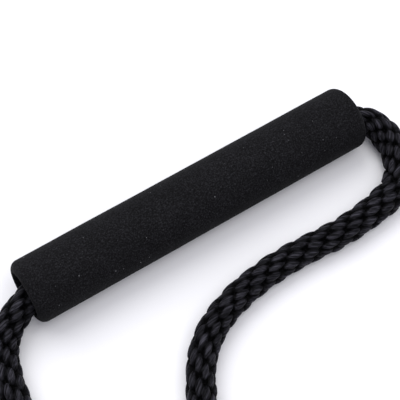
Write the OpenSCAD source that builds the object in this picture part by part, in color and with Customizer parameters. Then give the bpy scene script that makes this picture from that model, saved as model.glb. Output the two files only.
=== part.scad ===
// Tow rope handle: a foam grip on a core tube, and one braided rope that runs through the tube
// and is knotted into a closed bridle. The grip lies along X and rests on z = 0, with the origin
// under its middle. The bridle lies on the same surface, towards -Y.

/* [Foam grip] */
// Length of the foam grip
grip_len = 172; // [166:1:178]
// Outer diameter of the foam grip
grip_d = 30; // [29:0.5:34]
// Radius of the rounding around each end of the foam
grip_round = 4; // [2:0.5:4.5]

/* [Core tube] */
// Outer diameter of the core tube, and bore of the foam
core_od = 21; // [20.5:0.5:21.5]
// Inner diameter of the core tube
core_id = 18; // [17.5:0.5:18.5]
// How deep each end of the core tube sits inside the foam
core_inset = 4; // [3:0.5:8]
// Size of the bevel inside each end of the core tube
core_bevel = 0.8; // [0.4:0.1:1.1]

/* [Rope] */
// Diameter of the braided rope
rope_d = 12.7; // [12:0.1:13]
// Gap between the rope and the wall it rests on inside the tube
rope_gap = 0.5; // [0.3:0.1:0.6]

/* [Knot and rope ends] */
// Height of the knot above the surface
knot_h = 34; // [30:1:38]
// Length of the longer rope end, from inside the knot
long_tail = 44; // [40:1:56]
// Length of the shorter rope end, from inside the knot
short_tail = 40; // [36:1:52]
// Length of the twine whipping near each rope end
whip_len = 10; // [6:1:14]
// Thickness of the twine whipping
whip_t = 1; // [0.6:0.1:1.4]
// Bare rope between each whipping and the sealed tip
whip_inset = 2; // [1:0.5:4]
// Length of the heat-sealed tip on each rope end
tip_len = 3; // [2:0.5:5]

/* [Hidden] */
$fn = 64;

foam_black = [0.10, 0.10, 0.11];
rope_black = [0.15, 0.15, 0.17];
twine_black = [0.08, 0.08, 0.09];
core_grey = [0.30, 0.30, 0.31];

mouth = grip_len / 2;                 // x of each end of the grip
axis_z = grip_d / 2;                  // height of the grip's axis
lie = rope_d / 2;                     // height of the rope's axis where it lies on the surface
low = axis_z - core_id / 2 + lie + rope_gap;   // height of the rope's axis inside the tube
leg_start = mouth - 16;               // x, inside the tube, where each leg takes over

// Routes of the two legs, from inside the tube to inside the knot.
RIGHT_ROUTE = [
    [leg_start, 0, low], [mouth - 8, 0, low], [mouth + 1, -2, 12], [mouth + 8, -6, 10],
    [mouth + 11, -14, 7], [mouth + 10, -23, lie], [mouth + 6, -32, lie], [mouth - 1, -39, lie],
    [77, -42, lie], [64, -44, lie], [50, -45, lie], [35, -44, lie], [20, -43.5, lie],
    [5, -44.5, lie], [-10, -47.5, lie], [-22.5, -52.5, lie], [-33.5, -60.5, lie], [-41, -70, lie],
    [-47, -81, lie], [-51.5, -91.5, lie], [-55.5, -101, lie], [-58, -107.5, lie],
    [-58.5, -114, lie], [-58.5, -132, lie]];
LEFT_ROUTE = [
    [-leg_start, 0, low], [8 - mouth, 0, low], [-1 - mouth, -2, 12], [-11 - mouth, -6, 9],
    [-19 - mouth, -13, 7], [-23.5 - mouth, -24, lie], [-26 - mouth, -36, lie], [-113, -50, lie],
    [-109.5, -62, lie], [-102.5, -73, lie], [-93, -82.5, lie], [-83.5, -91.5, lie],
    [-76.5, -100, lie], [-72.5, -107, lie], [-71.5, -114, lie], [-71.5, -132, lie]];
ROUTE_STEPS = 2;                      // rings for each step of a route
ROPE_SIDES = 10;

knot_at = [-65, -162];                // the knot's own origin, seen from above
KNOT_OUTLINE = [[-19, 14], [-10, 20], [12, 6], [4, -11], [-12, -11]];   // middles of its corners
LEFT_TAIL = [-5, -22, -4];            // from knot_at: x, y, and heading in degrees away from -Y
RIGHT_TAIL = [9, -22, 0];

function unit(v) = v / norm(v);

// Smooth curve through the points p of a route, at t from 0 to 1 between points i and i + 1.
function before(p, i) = i == 0 ? 2 * p[0] - p[1] : p[i - 1];
function after(p, i) = i + 2 > len(p) - 1 ? 2 * p[len(p) - 1] - p[len(p) - 2] : p[i + 2];
function blend(a, b, c, d, t) =
    (2 * b + (c - a) * t + (2 * a - 5 * b + 4 * c - d) * t * t
     + (3 * b - a - 3 * c + d) * t * t * t) / 2;
function smooth(p, n) = [
    for (i = [0 : len(p) - 2], k = [0 : n - 1]) blend(before(p, i), p[i], p[i + 1], after(p, i), k / n),
    p[len(p) - 1]];

// Keeps a curve of the rope's axis from dipping below the height at which the rope lies.
function lying(c) = [for (p = c) [p[0], p[1], max(p[2], lie)]];

// Direction of a curve at point i.
function heading(c, i) = unit(
    i == 0 ? c[1] - c[0] : i == len(c) - 1 ? c[i] - c[i - 1] : c[i + 1] - c[i - 1]);

// One ring of points around a curve. No route stands upright, so +Z always gives a side.
function ring(at, dir, r, sides) =
    let (side = unit(cross([0, 0, 1], dir)), rise = cross(dir, side))
    [for (k = [0 : sides - 1]) at + r * (cos(360 * k / sides) * side + sin(360 * k / sides) * rise)];

// Tube of radius r along the curve c.
module tube(c, r, sides) {
    last = len(c) - 1;
    points = [for (i = [0 : last]) each ring(c[i], heading(c, i), r, sides)];
    wall = [for (i = [0 : last - 1], k = [0 : sides - 1])
        let (n = (k + 1) % sides)
        [i * sides + k, (i + 1) * sides + k, (i + 1) * sides + n, i * sides + n]];
    first_cap = [for (k = [0 : sides - 1]) k];
    last_cap = [for (k = [sides - 1 : -1 : 0]) last * sides + k];
    polyhedron(points, concat([first_cap], wall, [last_cap]), convexity = 10);
}

// Places a shape drawn along +X on the grip's axis.
module on_axis() {
    translate([0, 0, axis_z]) rotate([0, 90, 0]) children();
}

module foam_grip() {
    half = grip_len / 2;
    color(foam_black) on_axis() rotate_extrude() intersection() {
        union() {
            translate([0, grip_round - half]) square([grip_d / 2, grip_len - 2 * grip_round]);
            translate([0, -half]) square([grip_d / 2 - grip_round, grip_len]);
            for (end = [-1, 1])
                translate([grip_d / 2 - grip_round, end * (half - grip_round)]) circle(grip_round);
        }
        translate([core_od / 2, -half]) square([(grip_d - core_od) / 2, grip_len]);
    }
}

module core_tube() {
    half = grip_len / 2 - core_inset;
    color(core_grey) on_axis() rotate_extrude()
        polygon([[core_od / 2, -half], [core_od / 2, half],
                 [core_id / 2 + core_bevel, half], [core_id / 2, half - core_bevel],
                 [core_id / 2, core_bevel - half], [core_id / 2 + core_bevel, -half]]);
}

module rope_in_tube() {
    color(rope_black) translate([-leg_start, 0, low]) rotate([0, 90, 0])
        cylinder(d = rope_d, h = 2 * leg_start);
}

module leg(route) {
    color(rope_black) tube(lying(smooth(route, ROUTE_STEPS)), rope_d / 2, ROPE_SIDES);
}

module left_leg() {
    leg(LEFT_ROUTE);
}

module right_leg() {
    leg(RIGHT_ROUTE);
}

// Outer shape of the overhand knot that both legs are tied in.
module bridle_knot() {
    r = knot_h / 2;
    color(rope_black) translate([knot_at[0], knot_at[1], r])
        hull() for (p = KNOT_OUTLINE) translate([p[0], p[1], 0]) sphere(r, $fn = 24);
}

// Places a shape drawn up +Z so that it points out of the knot along one of the rope ends,
// high enough for the whipping to rest on the surface.
module along_tail(tail) {
    translate([knot_at[0] + tail[0], knot_at[1] + tail[1], lie + whip_t])
        rotate([90, 0, tail[2]]) children();
}

module tail_rope(tail, length) {
    color(rope_black) along_tail(tail) cylinder(d = rope_d, h = length);
}

module whipping(tail, length) {
    color(twine_black) along_tail(tail) translate([0, 0, length - whip_len - whip_inset])
        difference() {
            cylinder(d = rope_d + 2 * whip_t, h = whip_len);
            translate([0, 0, -1]) cylinder(d = rope_d, h = whip_len + 2);
        }
}

module tip(tail, length) {
    color(twine_black) along_tail(tail) translate([0, 0, length])
        cylinder(d1 = rope_d, d2 = rope_d - 2, h = tip_len);
}

module left_tail() {
    tail_rope(LEFT_TAIL, long_tail);
}

module right_tail() {
    tail_rope(RIGHT_TAIL, short_tail);
}

module left_whipping() {
    whipping(LEFT_TAIL, long_tail);
}

module right_whipping() {
    whipping(RIGHT_TAIL, short_tail);
}

module left_tip() {
    tip(LEFT_TAIL, long_tail);
}

module right_tip() {
    tip(RIGHT_TAIL, short_tail);
}

foam_grip();
core_tube();
rope_in_tube();
left_leg();
right_leg();
bridle_knot();
left_tail();
right_tail();
left_whipping();
right_whipping();
left_tip();
right_tip();
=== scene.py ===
"""Looks of the tow rope handle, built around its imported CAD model.

Everything is in metres, in the model's own frame: the grip lies along X on the floor z = 0, and the
rope bridle lies towards -Y. One solid-braid rope runs through the grip, and both of its legs are
tied together in one overhand knot.
"""
import math

import bmesh
import bpy
import numpy as np
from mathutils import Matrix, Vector, noise


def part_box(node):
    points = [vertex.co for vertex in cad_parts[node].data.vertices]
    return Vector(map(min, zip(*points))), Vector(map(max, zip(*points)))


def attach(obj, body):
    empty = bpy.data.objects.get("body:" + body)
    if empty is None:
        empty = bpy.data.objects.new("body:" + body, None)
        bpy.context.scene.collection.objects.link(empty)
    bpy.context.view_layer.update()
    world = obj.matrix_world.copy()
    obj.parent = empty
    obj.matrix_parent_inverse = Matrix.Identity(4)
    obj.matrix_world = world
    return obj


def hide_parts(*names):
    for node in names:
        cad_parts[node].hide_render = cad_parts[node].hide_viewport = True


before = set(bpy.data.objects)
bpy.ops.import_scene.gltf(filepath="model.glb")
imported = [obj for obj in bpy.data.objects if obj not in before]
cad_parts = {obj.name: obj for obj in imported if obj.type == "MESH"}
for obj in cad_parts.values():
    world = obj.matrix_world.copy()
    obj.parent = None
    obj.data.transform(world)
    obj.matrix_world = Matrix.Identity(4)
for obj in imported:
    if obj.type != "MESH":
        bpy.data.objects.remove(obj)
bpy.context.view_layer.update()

# ---------------------------------------------------------------------------- sizes of the model
grip_low, grip_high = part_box("foam_grip")
inner_low, inner_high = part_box("rope_in_tube")
MOUTH = grip_high.x                                # x of each end of the grip
AXIS_Z = (grip_low.z + grip_high.z) / 2            # height of the grip's axis
GRIP_R = (grip_high.z - grip_low.z) / 2
GRIP_ROUND = 0.004                                 # rounding around each end of the foam
BORE_R = 0.0105
LIP_ROUND = 0.0008                                 # rounding of the bore's edge
ROPE_R = 0.00635
LIE = ROPE_R                                       # height of the rope's axis where it lies
LOW = (inner_low.z + inner_high.z) / 2             # height of the rope's axis inside the tube
LEG_START = inner_high.x                           # x, inside the tube, where each leg takes over

# ---------------------------------------------------------------------------- camera
CAMERA_AZIMUTH = -32.6
CAMERA_ELEVATION = 60.0
CAMERA_DISTANCE = 0.615
CAMERA_TARGET = (0.0075, 0.0063, 0)
LENS = 120.5


def direction(azimuth, elevation):
    """Direction from the object towards something at these angles; azimuth 0 is towards -Y."""
    a, e = math.radians(azimuth), math.radians(elevation)
    return Vector((math.sin(a) * math.cos(e), -math.cos(a) * math.cos(e), math.sin(e)))


def aim(obj, target, azimuth, elevation, distance):
    """Puts a camera or light at these angles and this distance from target, looking at it."""
    back = direction(azimuth, elevation)
    obj.location = Vector(target) + back * distance
    obj.rotation_mode = "QUATERNION"
    obj.rotation_quaternion = back.to_track_quat("Z", "Y")
    bpy.context.scene.collection.objects.link(obj)


def make_camera():
    camera = bpy.data.objects.new("camera", bpy.data.cameras.new("camera"))
    camera.data.lens = LENS
    aim(camera, CAMERA_TARGET, CAMERA_AZIMUTH, CAMERA_ELEVATION, CAMERA_DISTANCE)
    bpy.context.scene.camera = camera


make_camera()

# ---------------------------------------------------------------------------- routes of the rope
RIGHT_ROUTE = [
    (LEG_START, 0, LOW), (MOUTH - .008, 0, LOW), (MOUTH + .001, -.002, .012),
    (MOUTH + .008, -.006, .010), (MOUTH + .011, -.014, .007), (MOUTH + .010, -.023, LIE),
    (MOUTH + .006, -.032, LIE), (MOUTH - .001, -.039, LIE), (.077, -.042, LIE), (.064, -.044, LIE),
    (.050, -.045, LIE), (.035, -.044, LIE), (.020, -.0435, LIE), (.005, -.0445, LIE),
    (-.010, -.0475, LIE), (-.0225, -.0525, LIE), (-.0335, -.0605, LIE), (-.041, -.070, LIE),
    (-.047, -.081, LIE), (-.0515, -.0915, LIE), (-.0555, -.101, LIE), (-.058, -.1075, LIE),
    (-.0585, -.114, LIE), (-.0585, -.132, LIE)]
LEFT_ROUTE = [
    (-LEG_START, 0, LOW), (.008 - MOUTH, 0, LOW), (-.001 - MOUTH, -.002, .012),
    (-.011 - MOUTH, -.006, .009), (-.019 - MOUTH, -.013, .007), (-.0235 - MOUTH, -.024, LIE),
    (-.026 - MOUTH, -.036, LIE), (-.113, -.050, LIE), (-.1095, -.062, LIE), (-.1025, -.073, LIE),
    (-.093, -.0825, LIE), (-.0835, -.0915, LIE), (-.0765, -.100, LIE), (-.0725, -.107, LIE),
    (-.0715, -.114, LIE), (-.0715, -.132, LIE)]

KNOT_AT = (-.065, -.162)                           # the knot's own origin, seen from above
KNOT_TOP = .048                                    # from KNOT_AT: y where the legs go into the knot
LEG_GAP = .013                                     # between the middles of the two legs there
TAIL_Z = LIE + .001                                # height of the rope ends' axes
# Each rope end leaves the knot from here, turned this much from -Y, and is this long.
LEFT_TAIL = dict(x=-.005, y=-.022, turn=-4, length=.044)
RIGHT_TAIL = dict(x=.009, y=-.022, turn=0, length=.040)
WHIP_LENGTH = .010
WHIP_INSET = .002
WHIP_THICKNESS = .001
TIP_LENGTH = .003


def smooth(points, steps):
    """Smooth curve through the points, with this many steps between each two."""
    p = np.array(points, float)
    p = np.vstack([2 * p[0] - p[1], p, 2 * p[-1] - p[-2]])
    t = (np.arange(steps) / steps)[:, None]
    spans = [
        (2 * b + (c - a) * t + (2 * a - 5 * b + 4 * c - d) * t ** 2
         + (3 * b - a - 3 * c + d) * t ** 3) / 2
        for a, b, c, d in zip(p, p[1:], p[2:], p[3:])]
    return np.vstack(spans + [p[-2:-1]])


def distances(curve):
    """Distance along the curve of each of its points."""
    return np.concatenate([[0], np.cumsum(np.linalg.norm(np.diff(curve, axis=0), axis=1))])


def resample(curve, count):
    """The same curve with this many evenly spaced points."""
    along = distances(curve)
    return interpolate(np.linspace(0, along[-1], count), along, curve)


def interpolate(at, along, values):
    return np.stack([np.interp(at, along, values[:, k]) for k in range(values.shape[1])], axis=1)


def unit(vectors):
    return vectors / np.linalg.norm(vectors, axis=-1, keepdims=True)


def carried_sides(curve, side):
    """Headings along the curve, and a side direction carried along it without twisting."""
    headings = unit(np.gradient(curve, axis=0))
    sides = []
    for heading in headings:
        side = unit(side - heading * (side @ heading))
        sides.append(side)
    return headings, np.array(sides)


def tail_axis(tail):
    """Start of a rope end's axis, and its direction, in the model's frame."""
    turn = math.radians(tail["turn"])
    start = np.array([KNOT_AT[0] + tail["x"], KNOT_AT[1] + tail["y"], TAIL_Z])
    return start, np.array([math.sin(turn), -math.cos(turn), 0])


# ---------------------------------------------------------------------------- the knot
# One fat strand in the shape of a loose overhand knot, seen from the knot's own origin.
LOOSE_KNOT = [
    (-.008, .227, .019), (-.008, .149, .019), (-.014, .090, .016), (-.027, .045, .035),
    (-.034, 0, .055), (-.014, -.049, .040), (.024, -.065, .019), (.067, -.033, .026),
    (.078, .032, .038), (.050, .084, .050), (-.001, .097, .059), (-.057, .078, .043),
    (-.070, .032, .021), (-.037, -.004, .014), (-.001, -.026, .035), (.021, -.062, .057),
    (.011, -.111, .043), (-.008, -.163, .021), (-.008, -.215, .019)]
KNOT_POINTS = 80                                   # points of each strand while it is tightened
# First the knot is tightened as one fat strand, which stands for both legs.
FAT_R = 2.1 * ROPE_R
FAT_END = .100                                     # y of its ends, each way from KNOT_AT
FAT_LENGTH = .476
FAT_BEND = .024                                    # least radius that it bends to
# Then it is split into the two legs, and they are tightened as a pair.
PAIR_OFFSET = 1.05 * ROPE_R                        # of each leg from the middle of the fat strand
PAIR_LENGTH = .290                                 # length of rope that each leg has in the knot
PAIR_BEND = .010
PAIR_REACH = 2.1 * ROPE_R                          # the two legs stay this close to each other
PAIR_END = .036                                    # how far out the rope ends are held

LINE_STEP = .0005                                  # between the points of a finished line
EASE = .003                                        # how much of the line each point is eased over


def always(size, wanted):
    """For a pull that holds whether the points are nearer or further apart than wanted."""
    return np.full(len(size), True)


class Tightening:
    """Points of one or two strands, moved until they keep their length and stay out of each other."""
    NEIGHBOURS = 2.6                               # radii along a strand within which points may be near
    ROUNDS = 4                                     # of moves in each step
    HASTE = 1.2                                    # how much of the mean wanted move is made
    FALL = .00003                                  # how far the points sink in each step
    WIDEST_TURN = 1.4                              # half turn, in radians, that a bend may make at most
    BEND_WEIGHT, CLASH_WEIGHT, MATE_WEIGHT = 0.5, 2.0, 0.3

    def __init__(self, strands, radius, length, least_bend):
        self.count = len(strands[0])
        self.points = np.vstack(strands)
        self.radius = radius
        self.least_bend = least_bend
        self.spacing = length / (self.count - 1)
        firsts = [strand * self.count for strand in range(len(strands))]
        self.segments = self.starts(firsts, 1)
        self.reach = max(2, round(radius / self.spacing))
        self.spans = self.starts(firsts, self.reach)
        index = np.arange(len(self.points))
        same = index[:, None] // self.count == index[None] // self.count
        close = np.abs(index[:, None] - index[None]) * self.spacing < self.NEIGHBOURS * radius
        self.pairs = np.nonzero(np.triu(~(same & close), 1))
        held = [0, 1, 2, self.count - 3, self.count - 2, self.count - 1]
        self.held = np.array([first + k for first in firsts for k in held])

    def starts(self, firsts, reach):
        """Every point that has another one this many points further along its strand."""
        return np.concatenate([first + np.arange(self.count - reach) for first in firsts])

    def pull(self, a, b, wanted, when, weight=1.0):
        """Adds the moves that bring points a and b to the wanted distance, where their distance
        compares with it as when says."""
        gap = self.points[b] - self.points[a]
        size = np.maximum(np.linalg.norm(gap, axis=1), 1e-9)
        active = when(size, wanted)
        a, b, gap, size = a[active], b[active], gap[active], size[active]
        step = (weight * 0.5 * (size - wanted) / size)[:, None] * gap
        for ends, sign in ((a, 1), (b, -1)):
            np.add.at(self.move, ends, sign * step)
            np.add.at(self.share, ends, weight)

    def run(self, ends, steps, growing, together=None):
        """Brings the held ends to their places over the first growing steps, then settles."""
        start_spacing = np.linalg.norm(
            self.points[self.segments + 1] - self.points[self.segments], axis=1).mean()
        start_ends = self.points[self.held].copy()
        mates = np.arange(self.count)
        for step in range(steps):
            part = min(1.0, step / growing)
            spacing = start_spacing + (self.spacing - start_spacing) * part
            half_turn = min(self.WIDEST_TURN, self.reach * spacing / 2 / self.least_bend)
            chord = 2 * self.least_bend * math.sin(half_turn)
            for _ in range(self.ROUNDS):
                self.move = np.zeros_like(self.points)
                self.share = np.zeros(len(self.points))
                self.pull(self.segments, self.segments + 1, spacing, always)
                self.pull(self.spans, self.spans + self.reach, chord, np.less, self.BEND_WEIGHT)
                self.pull(*self.pairs, 2 * self.radius, np.less, self.CLASH_WEIGHT)
                if together:
                    self.pull(mates, mates + self.count, together, np.greater, self.MATE_WEIGHT)
                self.points += self.HASTE * self.move / np.maximum(self.share, 1)[:, None]
                self.points[:, 2] = np.maximum(self.points[:, 2], self.radius)
                self.points[self.held] = start_ends + (ends - start_ends) * part
            self.points[:, 2] -= self.FALL
        return np.split(self.points, len(self.points) // self.count)


def held_ends(top, bottom, heading, spacing):
    """The three held points at each end of a strand: straight down from top, straight to bottom."""
    down = np.array([0, -spacing, 0])
    return [top + k * down for k in range(3)] + [bottom - k * spacing * heading for k in (2, 1, 0)]


def split_in_two(fat, gap):
    """Two strands side by side along a fat one, untwisted so that both ends lie level."""
    headings, sides = carried_sides(fat, np.array([1.0, 0, 0]))
    twist = math.atan2(np.cross(sides[-1], [1.0, 0, 0]) @ headings[-1], sides[-1][0])
    turn = np.linspace(0, twist, len(fat))[:, None]
    sides = sides * np.cos(turn) + np.cross(headings, sides) * np.sin(turn)
    return [resample(fat + sign * gap * sides, KNOT_POINTS) for sign in (-1, 1)]


def tie_knot():
    """Centrelines of the left and right strands through the knot, in the model's frame."""
    origin = np.array([*KNOT_AT, 0])
    loose = resample(smooth(LOOSE_KNOT, 20), KNOT_POINTS)
    fat = Tightening([loose], FAT_R, FAT_LENGTH, FAT_BEND)
    top, bottom = np.array([0, FAT_END, FAT_R]), np.array([0, -FAT_END, FAT_R])
    ends = held_ends(top, bottom, np.array([0, -1, 0]), fat.spacing)
    fat_line, = fat.run(np.array(ends), steps=1000, growing=700)
    strands = split_in_two(resample(fat_line, 400), PAIR_OFFSET)
    pair = Tightening(strands, ROPE_R, PAIR_LENGTH, PAIR_BEND)
    ends = []
    for tail, side in ((LEFT_TAIL, -1), (RIGHT_TAIL, 1)):
        start, heading = tail_axis(tail)
        top = np.array([side * LEG_GAP / 2, KNOT_TOP, LIE])
        bottom = start - origin + heading * PAIR_END / abs(heading[1])
        ends += held_ends(top, bottom, heading, pair.spacing)
    strands = pair.run(np.array(ends), steps=1600, growing=1000, together=PAIR_REACH)
    return [strand + origin for strand in strands]


def eased(line):
    """The line with its small kinks rounded off, by a weighted mean over a short stretch."""
    reach = int(2.5 * EASE / LINE_STEP)
    weights = np.exp(-0.5 * (np.arange(-reach, reach + 1) * LINE_STEP / EASE) ** 2)
    before = 2 * line[0] - line[reach:0:-1]
    after = 2 * line[-1] - line[-2:-reach - 2:-1]
    padded = np.vstack([before, line, after])
    soft = [np.convolve(padded[:, k], weights / weights.sum(), "valid") for k in range(3)]
    return np.stack(soft, axis=1)


def rope_line(route, strand, tail):
    """Centreline from inside the tube, along a leg, through the knot and to the end of the rope."""
    leg = smooth(route[:-1], 12)
    leg[:, 2] = np.maximum(leg[:, 2], LIE)
    start, heading = tail_axis(tail)
    end = start + heading * tail["length"]
    through = smooth(np.vstack([strand[1:], end]), 6)
    line = np.vstack([leg, through])
    line = resample(line, int(distances(line)[-1] / LINE_STEP))
    return eased(line)


left_strand, right_strand = tie_knot()
left_line = rope_line(LEFT_ROUTE, left_strand, LEFT_TAIL)
right_line = rope_line(RIGHT_ROUTE, right_strand, RIGHT_TAIL)
inner_line = resample(np.array([(-LEG_START, 0, LOW), (LEG_START, 0, LOW)]), 280)

# ---------------------------------------------------------------------------- meshes
def new_piece(name, vertices, faces):
    """A smooth-shaded mesh object with these vertices and faces."""
    mesh = bpy.data.meshes.new(name)
    mesh.from_pydata([tuple(v) for v in vertices], [], [tuple(f) for f in faces])
    mesh.polygons.foreach_set("use_smooth", [True] * len(mesh.polygons))
    mesh.update()
    obj = bpy.data.objects.new(name, mesh)
    bpy.context.scene.collection.objects.link(obj)
    return obj


def close_ends(obj):
    """Caps the open ends of a tube."""
    bm = bmesh.new()
    bm.from_mesh(obj.data)
    bmesh.ops.holes_fill(bm, edges=[e for e in bm.edges if e.is_boundary])
    bm.to_mesh(obj.data)
    bm.free()


def keep_value(obj, name, kind, values):
    """Stores one value for each vertex, for the piece's material to read."""
    attribute = obj.data.attributes.new(name, kind, "POINT")
    key = "vector" if kind == "FLOAT_VECTOR" else "value"
    attribute.data.foreach_set(key, np.asarray(values, np.float32).ravel())


def grid_faces(rings, sides):
    """Faces of a tube of rings, each of the same number of sides."""
    here = np.arange(rings - 1)[:, None] * sides + np.arange(sides)[None]
    beside = np.arange(rings - 1)[:, None] * sides + (np.arange(sides)[None] + 1) % sides
    return np.stack([here, here + sides, beside + sides, beside], axis=-1).reshape(-1, 4)


# ---------------------------------------------------------------------------- solid braid
# The lobes of the braid are the cells of a slanted lattice on the rope's surface. One step along
# a lobe goes 2/3 of the pitch forward and one column round, and one step across it goes 1/3 of
# the pitch back and one column round. 8 steps across and 4 back along make one full turn.
COLUMNS = 12
PITCH = .0104                                      # distance between lobes in one column
CREST_R = .0067                                    # the rope's radius at the tops of the lobes
GROOVE_R = .0053
ACROSS_PER_TURN, ALONG_PER_TURN = 8, 4
FILAMENT_STRETCH = 1 / 12
FLOOR_GAP = .00005                                 # the rope flattens a little where it lies
# How much lobes differ: in height, in place across the cell, and in slant along and across it.
SIZE_SHARE, SHIFT_SHARE, LEAN_SHARE, SKEW_SHARE = 0.12, 0.10, 0.12, 0.14
# The rope spreads where it bends out of the tube: from and to these distances along a leg.
SPREAD_FROM = (.024, .038)
SPREAD_TO = (.060, .105)
# Mesh faces to a lobe.
FINE_MESH = dict(along=14, across=8)
HIDDEN_MESH = dict(along=8, across=5)


def lobe_height(u, w):
    """Height of a lobe, from 0 in the grooves to 1, at u along it and w across it, from -1 to 1.
    It is a leaf that lies slanted in its cell, so that dark pits are left between the tips."""
    tucked_end, raised_end = 0.75 * np.abs(u) ** 2.2, 0.50 * np.abs(u) ** 3
    ends = np.where(u < 0, tucked_end, raised_end)
    across = np.abs(w + 0.30 * u) / (1.08 - 0.50 * u ** 2)
    sides = 0.85 * across ** 2.4
    return (1 - ends - sides).clip(-0.8)


def ease_in(value, span):
    """From 0 to 1 over the span, with a soft start and end."""
    part = ((value - span[0]) / (span[1] - span[0])).clip(0, 1)
    return part * part * (3 - 2 * part)


def braid(name, line, along, across, run=1, seed=1, spread=0.0):
    """Braided rope along a line. Each lobe has along x across faces. run is -1 where the line goes
    against the rope's own direction, and spread is how much wider the rope is where it bends out
    of the tube."""
    stations = distances(line)
    total = stations[-1]
    headings, sides = carried_sides(line, np.array([0, 0, 1.0]))

    # Lattice vertices: each row is one step across, and runs the whole length.
    rows = ACROSS_PER_TURN * across
    row = np.arange(rows + 1)
    per_row = int(1.5 * total / PITCH * along) + 5
    first = np.floor(along * (row / across) / 2).astype(int) - 2
    ia = first[:rows, None] + np.arange(per_row)[None]
    ib = np.broadcast_to(row[:rows, None], ia.shape)
    a, b = ia / along, ib / across
    s = PITCH / 3 * (2 * a - b)
    angle = 2 * math.pi / COLUMNS * (a + b)

    # Faces, with the last row joined back to the first.
    def vertex(i, j):
        wrapped = j == rows
        i, j = i - wrapped * ALONG_PER_TURN * along, j - wrapped * rows
        k = i - first[j]
        return np.where((k >= 0) & (k < per_row), j * per_row + k, -1)
    faces = np.stack([vertex(ia, ib), vertex(ia, ib + 1), vertex(ia + 1, ib + 1),
                      vertex(ia + 1, ib)], axis=-1).reshape(-1, 4)
    flat_s = s.ravel()
    corner_s = flat_s[faces]
    inside = (faces >= 0).all(1) & (corner_s.max(1) > 0) & (corner_s.min(1) < total)
    used, faces = np.unique(faces[inside], return_inverse=True)
    faces = faces.reshape(-1, 4)
    a, b, angle = a.ravel()[used], b.ravel()[used], angle.ravel()[used]
    s = flat_s[used].clip(0, total)

    # Heights, a little different from lobe to lobe.
    lobe_a, lobe_b = np.round(a).astype(int), np.round(b).astype(int)
    u, w = 2 * (a - lobe_a), 2 * (b - lobe_b)
    wrapped = lobe_b == ACROSS_PER_TURN
    lobe_a, lobe_b = lobe_a - wrapped * ALONG_PER_TURN, lobe_b - wrapped * ACROSS_PER_TURN
    chance = np.random.RandomState(seed).uniform(-1, 1, (4, np.ptp(lobe_a) + 1, ACROSS_PER_TURN))
    size, shade, shift, skew = chance[:, lobe_a - lobe_a.min(), lobe_b]
    height = lobe_height(run * u + LEAN_SHARE * skew * w,
                         run * w + SHIFT_SHARE * shift + SKEW_SHARE * skew * u)
    radius = GROOVE_R + (CREST_R - GROOVE_R) * height * (1 + SIZE_SHARE * size)
    radius *= 1 + spread * ease_in(s, SPREAD_FROM) * (1 - ease_in(s, SPREAD_TO))

    center = interpolate(s, stations, line)
    heading = unit(interpolate(s, stations, headings))
    side = interpolate(s, stations, sides)
    side = unit(side - heading * np.sum(side * heading, axis=1)[:, None])
    rise = np.cross(heading, side)
    outward = np.cos(angle)[:, None] * side + np.sin(angle)[:, None] * rise
    vertices = center + radius[:, None] * outward
    vertices[:, 2] = np.maximum(vertices[:, 2], FLOOR_GAP)
    obj = new_piece(name, vertices, faces)

    # What the material reads: the height, which it also uses to paint shade into the grooves and a
    # highlight onto the lobe crests, a random shade for each lobe, and straightened coordinates in which
    # the filaments run along one axis.
    lean = angle - s / (2 * PITCH / 3) * 2 * math.pi / COLUMNS
    keep_value(obj, "crown", "FLOAT", height)
    keep_value(obj, "shade", "FLOAT", shade)
    keep_value(obj, "filaments", "FLOAT_VECTOR",
               np.stack([radius * np.cos(lean), radius * np.sin(lean), s * FILAMENT_STRETCH], 1))
    close_ends(obj)
    return obj


left_rope = braid("left_rope", left_line, **FINE_MESH, run=-1, seed=1, spread=0.12)
right_rope = braid("right_rope", right_line, **FINE_MESH, seed=2, spread=0.09)
inner_rope = braid("inner_rope", inner_line, **HIDDEN_MESH, seed=3)

# ---------------------------------------------------------------------------- whippings and tips
TWINE_R = .0005
TWINE_SIDES = 12
TURN_PITCH = 2.04 * TWINE_R                        # between the turns of a whipping
TURN_STEPS = 40
TUCKED_TURN = 0.25                                 # part of a turn over which an end is tucked under
PLY_DEPTH = 0.22
PLY_PITCH = .0024
TIP_SIDES = 60


def twine(name, line, side):
    """Twine of two twisted plies along a line."""
    headings, sides = carried_sides(line, np.array(side, float))
    rises = np.cross(headings, sides)
    turn = 2 * math.pi * np.arange(TWINE_SIDES) / TWINE_SIDES
    twist = 2 * math.pi * distances(line) / PLY_PITCH
    size = TWINE_R * (1 - PLY_DEPTH * np.sin(turn[None] - twist[:, None]) ** 4)
    outward = (np.cos(turn)[None, :, None] * sides[:, None]
               + np.sin(turn)[None, :, None] * rises[:, None])
    vertices = (line[:, None] + size[:, :, None] * outward).reshape(-1, 3)
    obj = new_piece(name, vertices, grid_faces(len(line), TWINE_SIDES)[:, ::-1])
    close_ends(obj)
    return obj


def whipping(name, tail):
    """Twine wound tightly round a rope end, with both of its ends tucked under the turns."""
    start, heading = tail_axis(tail)
    first = tail["length"] - WHIP_INSET - WHIP_LENGTH + TWINE_R
    turns = (WHIP_LENGTH - 2 * TWINE_R) / TURN_PITCH
    steps = int(turns * TURN_STEPS)
    part = np.linspace(0, 1, steps)
    angle = 2 * math.pi * turns * part
    tuck = np.minimum(part, 1 - part) * turns / TUCKED_TURN
    reach = ROPE_R + WHIP_THICKNESS - TWINE_R - 0.9 * TWINE_R * (1 - tuck.clip(0, 1))
    side, rise = np.cross([0, 0, 1], heading), np.array([0, 0, 1])
    line = (start + np.outer(first + part * (WHIP_LENGTH - 2 * TWINE_R), heading)
            + (reach * np.cos(angle))[:, None] * side + (reach * np.sin(angle))[:, None] * rise)
    return twine(name, line, heading)


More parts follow.
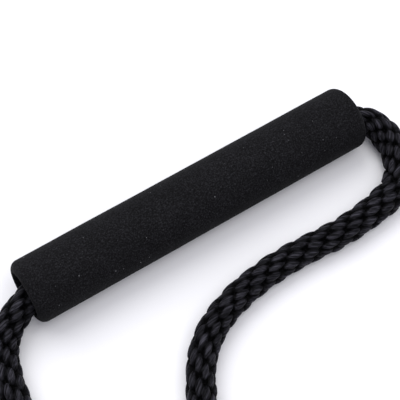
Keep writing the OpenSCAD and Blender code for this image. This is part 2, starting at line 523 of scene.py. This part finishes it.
# Distance along a melted tip and its radius, as shares of its length and of the rope's radius.
TIP_PROFILE = [(-.5, .86), (-.15, .93), (.1, 1.0), (.35, 1.01), (.6, .96), (.8, .86), (.94, .68),
               (1, .45), (1.01, .2), (1.01, .02)]


def melted_tip(name, tail, seed):
    """Heat-sealed rope end: a rounded, slightly lumpy cap."""
    start, heading = tail_axis(tail)
    start = start + heading * tail["length"]
    profile = smooth(TIP_PROFILE, 5)
    turn = 2 * math.pi * np.arange(TIP_SIDES) / TIP_SIDES
    side, rise = np.cross([0, 0, 1], heading), np.array([0, 0, 1])
    vertices = []
    for along, size in profile:
        for angle in turn:
            outward = math.cos(angle) * side + math.sin(angle) * rise
            flutes = 0.03 * math.cos(COLUMNS * angle) * (1 - along) * min(1, size * 1.5)
            lumps = 0.05 * noise.noise(Vector(outward * 2.2) + Vector((seed, along * 1.5, 0)))
            radius = ROPE_R * size * (1 + flutes + lumps)
            vertices.append(start + heading * along * TIP_LENGTH + outward * radius)
    obj = new_piece(name, vertices, grid_faces(len(profile), TIP_SIDES)[:, ::-1])
    close_ends(obj)
    return obj


left_whipping = whipping("left_twine", LEFT_TAIL)
right_whipping = whipping("right_twine", RIGHT_TAIL)
left_tip = melted_tip("left_melted_end", LEFT_TAIL, 1)
right_tip = melted_tip("right_melted_end", RIGHT_TAIL, 2)

# ---------------------------------------------------------------------------- foam grip
FOAM_SIDES = 180
FOAM_STEP = .0015
BORE_STEP = .004
BROAD_DIP = .00010                                 # depth of the foam's broad and fine unevenness
FINE_DIP = .00005


def arc(center, radius, start, stop, steps):
    """Points round part of a circle, from one angle to another in degrees."""
    angles = np.radians(np.linspace(start, stop, steps))
    return [(center[0] + radius * math.cos(t), center[1] + radius * math.sin(t)) for t in angles]


def foam_outline():
    """Half outline of the foam, as x and radius, from the middle of the bore to the middle of the
    outside."""
    bore = [(x, BORE_R) for x in np.arange(0, MOUTH - LIP_ROUND, BORE_STEP)]
    lip = arc((MOUTH - LIP_ROUND, BORE_R + LIP_ROUND), LIP_ROUND, -90, 0, 5)
    shoulder = arc((MOUTH - GRIP_ROUND, GRIP_R - GRIP_ROUND), GRIP_ROUND, 0, 90, 12)
    outside = [(x, GRIP_R) for x in np.arange(MOUTH - GRIP_ROUND, 0, -FOAM_STEP)[1:]]
    return bore + lip + shoulder + outside


def make_foam():
    """Foam sleeve, very slightly uneven on the outside as cut and skinned foam is."""
    half = foam_outline()
    outline = half + [(0, GRIP_R)] + [(-x, r) for x, r in half[:0:-1]]
    turn = 2 * math.pi * np.arange(FOAM_SIDES) / FOAM_SIDES
    vertices = []
    for x, r in outline:
        outer = max(0, (r - BORE_R - LIP_ROUND) / (GRIP_R - BORE_R - LIP_ROUND))
        for angle in turn:
            y, z = math.sin(angle), math.cos(angle)
            broad = noise.noise(Vector((x * 40, y * 1.3, z * 1.3)))
            fine = noise.noise(Vector((x * 160, y * 4, z * 4)))
            dip = outer * (BROAD_DIP * (broad + 1) / 2 + FINE_DIP * (fine + 1) / 2)
            vertices.append((x, (r - dip) * y, AXIS_Z + (r - dip) * z))
    faces = grid_faces(len(outline) + 1, FOAM_SIDES) % len(vertices)
    return new_piece("foam_sleeve", vertices, faces[:, ::-1])


foam = make_foam()

# ---------------------------------------------------------------------------- materials
def new_material(name, **plain):
    """A material with one shader; the plain values go straight onto its sockets."""
    material = bpy.data.materials.new(name)
    material.use_nodes = True
    shader = material.node_tree.nodes["Principled BSDF"]
    for socket, value in plain.items():
        shader.inputs[socket.replace("_", " ")].default_value = value
    return material, material.node_tree, shader


def add(tree, kind, inputs=(), **settings):
    """Adds a node. An input is a value, or another node's output socket."""
    node = tree.nodes.new(kind)
    for key, value in settings.items():
        setattr(node, key, value)
    for socket, value in dict(inputs).items():
        if isinstance(value, bpy.types.NodeSocket):
            tree.links.new(value, node.inputs[socket])
        else:
            node.inputs[socket].default_value = value
    return node


def ramp(tree, factor, stops):
    """Colour ramp through (place, grey or colour) stops."""
    node = add(tree, "ShaderNodeValToRGB", {"Fac": factor})
    elements = node.color_ramp.elements
    while len(elements) < len(stops):
        elements.new(1)
    for element, (place, colour) in zip(elements, stops):
        element.position = place
        element.color = (*colour, 1) if isinstance(colour, tuple) else (colour,) * 3 + (1,)
    return node.outputs["Color"]


def calculate(tree, operation, first, second=0.0, clamp=False):
    node = add(tree, "ShaderNodeMath", {0: first, 1: second}, operation=operation, use_clamp=clamp)
    return node.outputs[0]


def noise_value(tree, vector, scale, detail=2.0, roughness=0.5):
    return add(tree, "ShaderNodeTexNoise", {
        "Vector": vector, "Scale": scale, "Detail": detail, "Roughness": roughness}).outputs["Fac"]


def object_place(tree):
    return add(tree, "ShaderNodeTexCoord").outputs["Object"]


def attribute(tree, name, output):
    return add(tree, "ShaderNodeAttribute", attribute_name=name).outputs[output]


def set_bump(tree, shader, height, distance, strength=1.0):
    bump = add(tree, "ShaderNodeBump", {
        "Height": height, "Distance": distance, "Strength": strength})
    tree.links.new(bump.outputs["Normal"], shader.inputs["Normal"])


def link_colour(tree, shader, colour):
    tree.links.new(colour, shader.inputs["Base Color"])


def link_roughness(tree, shader, value, low, high):
    span = calculate(tree, "MULTIPLY", value, high - low)
    tree.links.new(calculate(tree, "ADD", span, low), shader.inputs["Roughness"])


def rope_material():
    """Black multifilament yarn with a bluish tint. Its colour holds painted shade in the grooves and a
    painted highlight on the lobe crests, read from the crown height, and streaks along the filaments
    that are partly the yarn's own grain and partly painted sheen.
    """
    material, tree, shader = new_material(
        "rope_yarn", Specular_IOR_Level=0.035, Sheen_Weight=0.01, Sheen_Roughness=0.5)
    crown = attribute(tree, "crown", "Fac")
    shade = attribute(tree, "shade", "Fac")
    place = attribute(tree, "filaments", "Vector")
    filaments = noise_value(tree, place, 1400, 4, 0.65)
    yarns = noise_value(tree, place, 700, 2)
    crown = calculate(tree, "ADD", crown, calculate(tree, "MULTIPLY", shade, 0.10))
    # Painted shade and highlight: the grooves and pits go near-black and the lobe crests are painted
    # bright, by the crown height.
    crest_highlight_groove_shade = ramp(tree, crown, [(0, 0), (.12, .02), (.38, .15), (.70, .52), (1, 1)])
    # Streaks along the filaments: partly the yarn's own grain, partly painted sheen.
    filament_grain_and_sheen = ramp(tree, filaments, [(.38, .08), (.50, .40), (.61, 1)])
    filament_grain_and_sheen = calculate(tree, "MULTIPLY", filament_grain_and_sheen, yarns)
    tone = calculate(tree, "MULTIPLY", crest_highlight_groove_shade, filament_grain_and_sheen)
    link_colour(tree, shader, ramp(tree, tone, [
        (0, (.0003, .0003, .0004)), (1, (.073, .071, .087))]))
    link_roughness(tree, shader, yarns, 0.34, 0.58)
    relief = calculate(tree, "ADD", filaments, yarns)
    set_bump(tree, shader, relief, .00020, 0.9)
    return material


def twine_material():
    """Waxed black whipping twine."""
    material, tree, shader = new_material(
        "whipping_twine", Specular_IOR_Level=0.22, Sheen_Weight=0.03, Sheen_Roughness=0.4)
    place = object_place(tree)
    fibres = noise_value(tree, place, 9000, 2)
    patches = noise_value(tree, place, 500, 2)
    link_colour(tree, shader, ramp(tree, patches, [
        (.3, (.006, .006, .007)), (.7, (.014, .014, .016))]))
    link_roughness(tree, shader, fibres, 0.35, 0.60)
    set_bump(tree, shader, fibres, .00005, 0.6)
    return material


def melted_material():
    """Rope yarn melted into a hard, half-glossy cap."""
    material, tree, shader = new_material("melted_yarn", Specular_IOR_Level=0.35)
    place = object_place(tree)
    blobs = noise_value(tree, place, 900, 3)
    link_colour(tree, shader, ramp(tree, blobs, [
        (.3, (.006, .006, .007)), (.75, (.017, .016, .017))]))
    link_roughness(tree, shader, noise_value(tree, place, 2500, 2), 0.18, 0.45)
    set_bump(tree, shader, blobs, .0002, 0.6)
    return material


def foam_material():
    """Matte black closed-cell foam: fine grain, and a scatter of small pale specks."""
    material, tree, shader = new_material("closed_cell_foam", Specular_IOR_Level=0.08)
    place = object_place(tree)
    grain = noise_value(tree, place, 1500, 4, 0.75)
    patches = noise_value(tree, place, 90, 3)
    cells = add(tree, "ShaderNodeTexVoronoi", {"Vector": place, "Scale": 1100})
    chance = add(tree, "ShaderNodeSeparateColor", {"Color": cells.outputs["Color"]}).outputs["Red"]
    near = calculate(tree, "LESS_THAN", cells.outputs["Distance"], 0.25)
    pale = calculate(tree, "MULTIPLY", near, ramp(tree, chance, [(.86, 0), (.985, .22), (1, 1)]))
    tone = calculate(tree, "ADD", calculate(tree, "MULTIPLY", grain, 0.7),
                     calculate(tree, "MULTIPLY", patches, 0.06))
    tone = calculate(tree, "ADD", tone, calculate(tree, "MULTIPLY", pale, 0.5), clamp=True)
    link_colour(tree, shader, ramp(tree, tone, [
        (.28, (.0008, .0008, .0009)), (.37, (.0044, .0044, .0049)),
        (.44, (.0130, .0130, .0145)), (.60, (.035, .035, .038)), (1, (.30, .30, .31))]))
    link_roughness(tree, shader, grain, 0.70, 0.95)
    pores = calculate(tree, "ADD", grain, calculate(tree, "MULTIPLY", cells.outputs["Distance"], 0.4))
    set_bump(tree, shader, pores, .00015, 0.7)
    return material


def core_material():
    """Extruded dark grey plastic tube, with faint draw marks along it."""
    material, tree, shader = new_material("core_plastic", Specular_IOR_Level=0.5)
    place = object_place(tree)
    stretched = add(tree, "ShaderNodeMapping", {"Vector": place, "Scale": (0.05, 1, 1)})
    marks = noise_value(tree, stretched.outputs["Vector"], 2000, 2)
    link_colour(tree, shader, ramp(tree, marks, [(.3, .045), (.7, .065)]))
    link_roughness(tree, shader, marks, 0.35, 0.55)
    set_bump(tree, shader, marks, .00004, 0.5)
    return material


def dress(objs, material, body):
    """Gives pieces their material and the body that they move with."""
    for obj in objs:
        obj.data.materials.clear()
        obj.data.materials.append(material)
        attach(obj, body)


dress([left_rope, right_rope, inner_rope], rope_material(), "rope")
dress([left_whipping, right_whipping], twine_material(), "rope")
dress([left_tip, right_tip], melted_material(), "rope")
dress([foam], foam_material(), "handle")
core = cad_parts["core_tube"]
core.data.materials.clear()
core.data.materials.append(core_material())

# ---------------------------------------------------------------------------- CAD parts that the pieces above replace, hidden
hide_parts("left_leg", "left_tail", "bridle_knot")
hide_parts("right_leg", "right_tail")
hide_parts("rope_in_tube")
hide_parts("left_whipping")
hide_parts("right_whipping")
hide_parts("left_tip")
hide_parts("right_tip")
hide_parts("foam_grip")

# ---------------------------------------------------------------------------- floor and light
FLOOR_HALF = 3.0
FLOOR_GREY = 0.9
SKY = 0.65
SKY_COLOUR = (0.885, 0.88, 1.0)
LIT_POINT = (0, -0.02, 0)
LAMP_DISTANCE = 1.3
KEY_LAMP = dict(azimuth=-168, elevation=59, size=1.4, power=11.5)
FILL_LAMP = dict(azimuth=20, elevation=68, size=1.0, power=6.0)


def make_floor():
    h = FLOOR_HALF
    floor = new_piece("floor", [(-h, -h, 0), (h, -h, 0), (h, h, 0), (-h, h, 0)], [(0, 1, 2, 3)])
    material, tree, shader = new_material("floor_white", Roughness=0.9, Specular_IOR_Level=0.0)
    shader.inputs["Base Color"].default_value = (FLOOR_GREY, FLOOR_GREY, FLOOR_GREY, 1)
    floor.data.materials.append(material)


def make_light(name, azimuth, elevation, size, power):
    lamp = bpy.data.lights.new(name, "AREA")
    lamp.shape = "DISK"
    lamp.size = size
    lamp.energy = power
    aim(bpy.data.objects.new(name, lamp), LIT_POINT, azimuth, elevation, LAMP_DISTANCE)


def make_sky():
    world = bpy.data.worlds.new("studio")
    bpy.context.scene.world = world
    world.use_nodes = True
    background = world.node_tree.nodes["Background"]
    background.inputs["Color"].default_value = (*SKY_COLOUR, 1)
    background.inputs["Strength"].default_value = SKY


make_floor()
make_light("key", **KEY_LAMP)
make_light("fill", **FILL_LAMP)
make_sky()
bpy.context.scene.view_settings.view_transform = "Standard"
